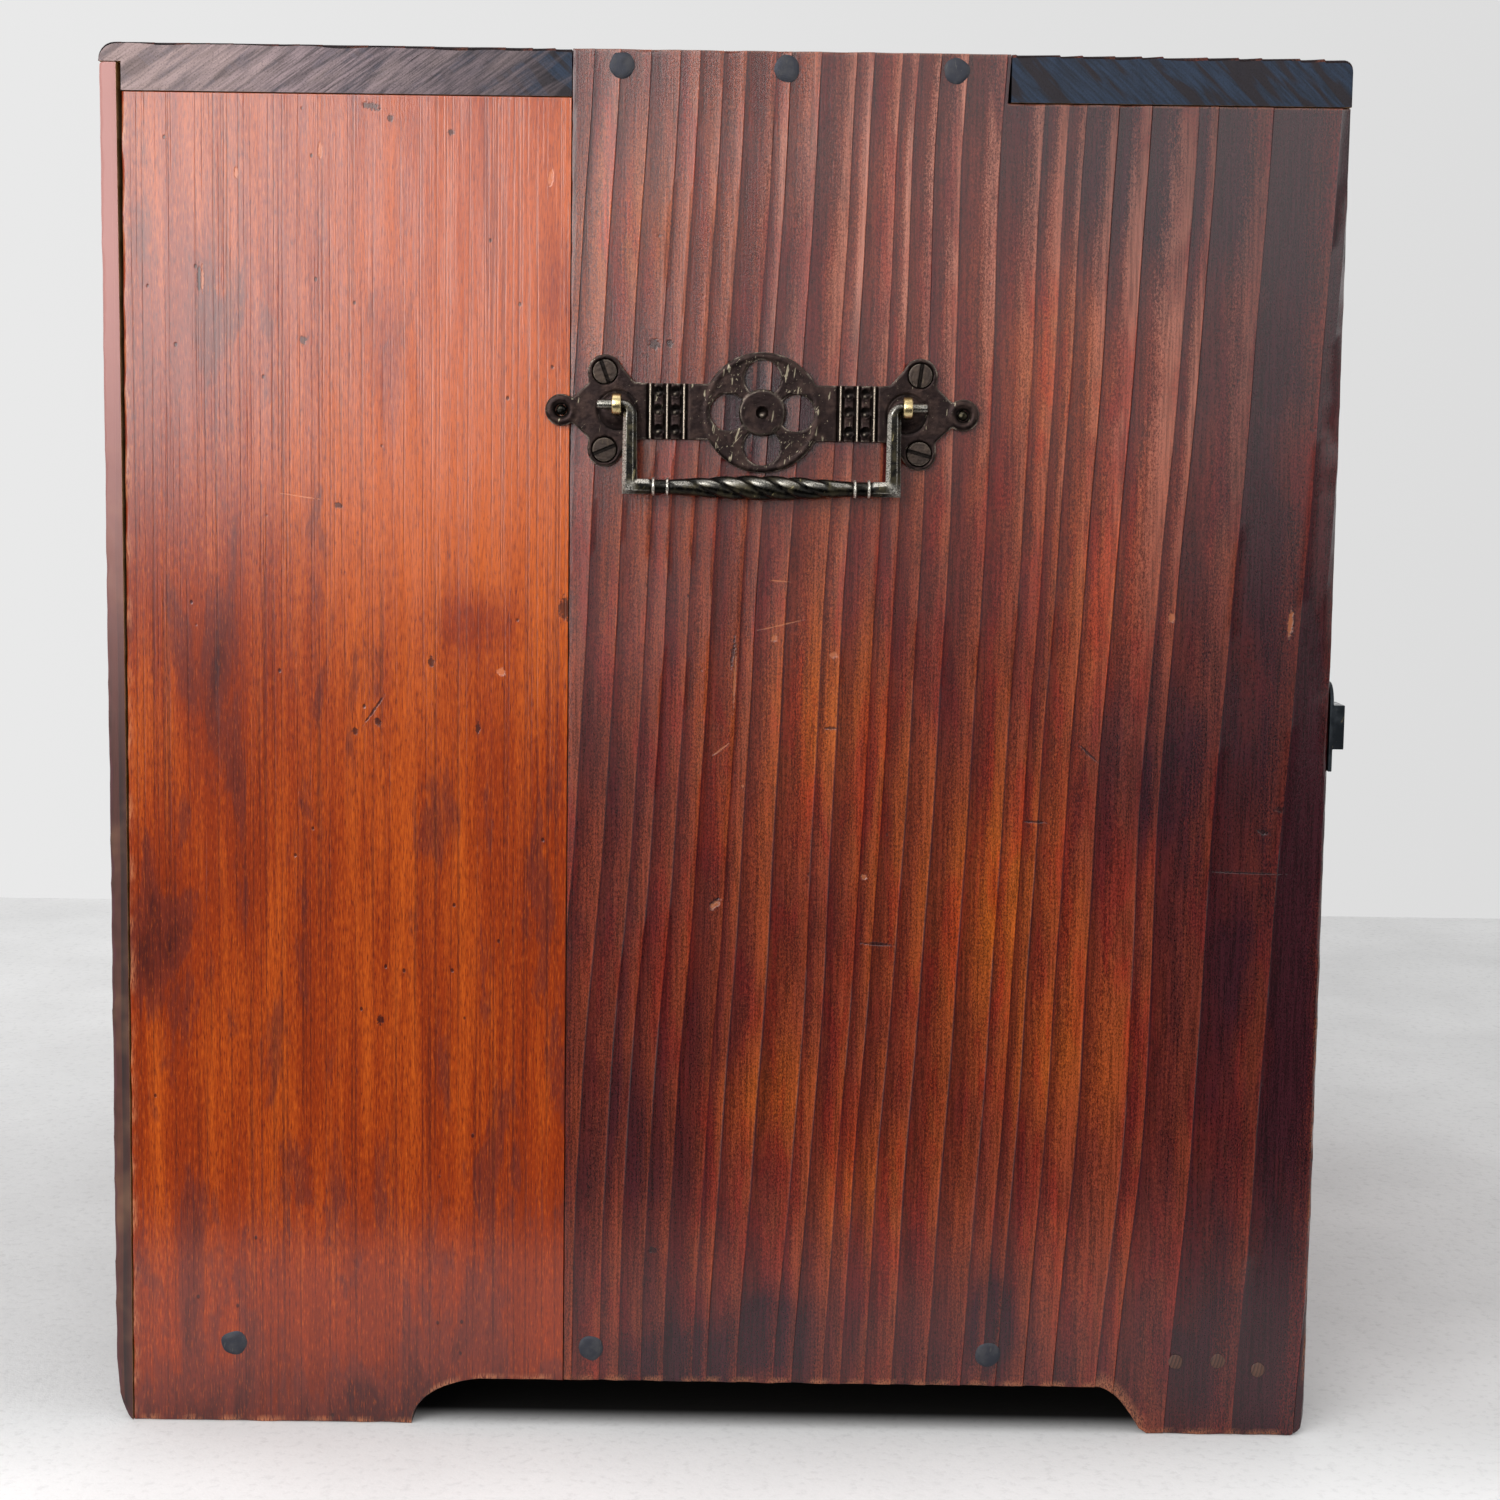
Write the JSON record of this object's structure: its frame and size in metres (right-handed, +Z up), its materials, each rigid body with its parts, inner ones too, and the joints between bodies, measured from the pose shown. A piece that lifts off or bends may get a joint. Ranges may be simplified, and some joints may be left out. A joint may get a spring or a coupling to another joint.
{
  "type": "ship chest",
  "caption": "Box chest of finger-jointed softwood boards with a hinged door, sliding drawers, a latch and iron carrying handles on its sides.",
  "frame": {"origin": "on the floor, under the middle of the chest's overall length and depth", "axes": "+X to the right seen from the front, across the chest between its carrying handles; +Y to the rear, so the drawers slide out along -Y; +Z up"},
  "size_m": [0.5018, 0.4057, 0.45],
  "materials": {
    "rear_wood": "oiled softwood, smooth, orange-red",
    "front_wood": "oiled softwood with raised grain, dark red-brown",
    "slate_wood": "blackened end grain and top board",
    "inner_wood": "bare aged softwood inside",
    "back_wood": "weathered softwood back boards",
    "iron": "dark forged iron, worn bronze-brown",
    "brass": "aged pale brass"
  },
  "bodies": {
    "case": {"side_left_rear_board": "rear_wood", "side_right_rear_board": "rear_wood", "side_left_front_board": "front_wood", "side_right_front_board": "front_wood", "front_sill": "front_wood", "middle_divider": "front_wood", "top_board": "slate_wood", "back_board_left": "back_wood", "back_board_right": "back_wood", "bottom_board": "inner_wood", "lower_shelf": "inner_wood", "upper_shelf": "inner_wood", "small_drawer_shelf": "inner_wood", "handle_left_plate": "iron", "handle_left_eye_a": "brass", "handle_left_eye_b": "brass", "handle_right_plate": "iron", "handle_right_eye_a": "brass", "handle_right_eye_b": "brass", "upper_hinge_post_leaf": "iron", "lower_hinge_post_leaf": "iron", "latch_keeper": "iron"},
    "door": {"door_panel": "front_wood", "door_lower_batten": "front_wood", "door_upper_batten": "front_wood", "latch_guide": "iron", "upper_hinge_door_leaf": "iron", "lower_hinge_door_leaf": "iron"},
    "latch_bolt": {"latch_bolt": "iron"},
    "handle_left_bail": {"handle_left_bail": "iron"},
    "handle_right_bail": {"handle_right_bail": "iron"},
    "top_drawer": {"top_drawer_front": "front_wood", "top_drawer_left_wall": "inner_wood", "top_drawer_right_wall": "inner_wood", "top_drawer_back": "inner_wood", "top_drawer_bottom": "inner_wood", "top_drawer_pull_plate": "iron"},
    "top_drawer_pull_bail": {"top_drawer_pull_bail": "iron"},
    "bottom_drawer": {"bottom_drawer_front": "front_wood", "bottom_drawer_left_wall": "inner_wood", "bottom_drawer_right_wall": "inner_wood", "bottom_drawer_back": "inner_wood", "bottom_drawer_bottom": "inner_wood", "bottom_drawer_pull_plate": "iron"},
    "bottom_drawer_pull_bail": {"bottom_drawer_pull_bail": "iron"},
    "upper_small_drawer": {"upper_small_drawer_front": "front_wood", "upper_small_drawer_left_wall": "inner_wood", "upper_small_drawer_right_wall": "inner_wood", "upper_small_drawer_back": "inner_wood", "upper_small_drawer_bottom": "inner_wood", "upper_small_drawer_pull_plate": "iron"},
    "upper_small_drawer_pull_bail": {"upper_small_drawer_pull_bail": "iron"},
    "lower_small_drawer": {"lower_small_drawer_front": "front_wood", "lower_small_drawer_left_wall": "inner_wood", "lower_small_drawer_right_wall": "inner_wood", "lower_small_drawer_back": "inner_wood", "lower_small_drawer_bottom": "inner_wood", "lower_small_drawer_pull_plate": "iron"},
    "lower_small_drawer_pull_bail": {"lower_small_drawer_pull_bail": "iron"}
  },
  "joints": [
    {"name": "handle_left_swing", "type": "hinge", "parent": "case", "child": "handle_left_bail", "pos_m": [-0.2472, -0.00885, 0.3383], "axis": [0, 1, 0], "range_deg": [0, 170]},
    {"name": "handle_right_swing", "type": "hinge", "parent": "case", "child": "handle_right_bail", "pos_m": [0.2472, -0.00885, 0.3383], "axis": [0, -1, 0], "range_deg": [0, 170]},
    {"name": "door_swing", "type": "hinge", "parent": "case", "child": "door", "pos_m": [-0.0075, -0.19655, 0.2375], "axis": [0, 0, -1], "range_deg": [-165, 0]},
    {"name": "latch_bolt_slide", "type": "slide", "parent": "door", "child": "latch_bolt", "axis": [-1, 0, 0], "range_m": [0, 0.009]},
    {"name": "top_drawer_slide", "type": "slide", "parent": "case", "child": "top_drawer", "axis": [0, -1, 0], "range_m": [0, 0.3]},
    {"name": "top_drawer_pull_swing", "type": "hinge", "parent": "top_drawer", "child": "top_drawer_pull_bail", "pos_m": [0, -0.19985, 0.3909], "axis": [-1, 0, 0], "range_deg": [0, 160]},
    {"name": "bottom_drawer_slide", "type": "slide", "parent": "case", "child": "bottom_drawer", "axis": [0, -1, 0], "range_m": [0, 0.3]},
    {"name": "bottom_drawer_pull_swing", "type": "hinge", "parent": "bottom_drawer", "child": "bottom_drawer_pull_bail", "pos_m": [0, -0.19985, 0.0804], "axis": [-1, 0, 0], "range_deg": [0, 160]},
    {"name": "upper_small_drawer_slide", "type": "slide", "parent": "case", "child": "upper_small_drawer", "axis": [0, -1, 0], "range_m": [0, 0.3]},
    {"name": "upper_small_drawer_pull_swing", "type": "hinge", "parent": "upper_small_drawer", "child": "upper_small_drawer_pull_bail", "pos_m": [0.1155, -0.19985, 0.28865], "axis": [-1, 0, 0], "range_deg": [0, 160]},
    {"name": "lower_small_drawer_slide", "type": "slide", "parent": "case", "child": "lower_small_drawer", "axis": [0, -1, 0], "range_m": [0, 0.3]},
    {"name": "lower_small_drawer_pull_swing", "type": "hinge", "parent": "lower_small_drawer", "child": "lower_small_drawer_pull_bail", "pos_m": [0.1155, -0.19985, 0.18565], "axis": [-1, 0, 0], "range_deg": [0, 160]}
  ]
}
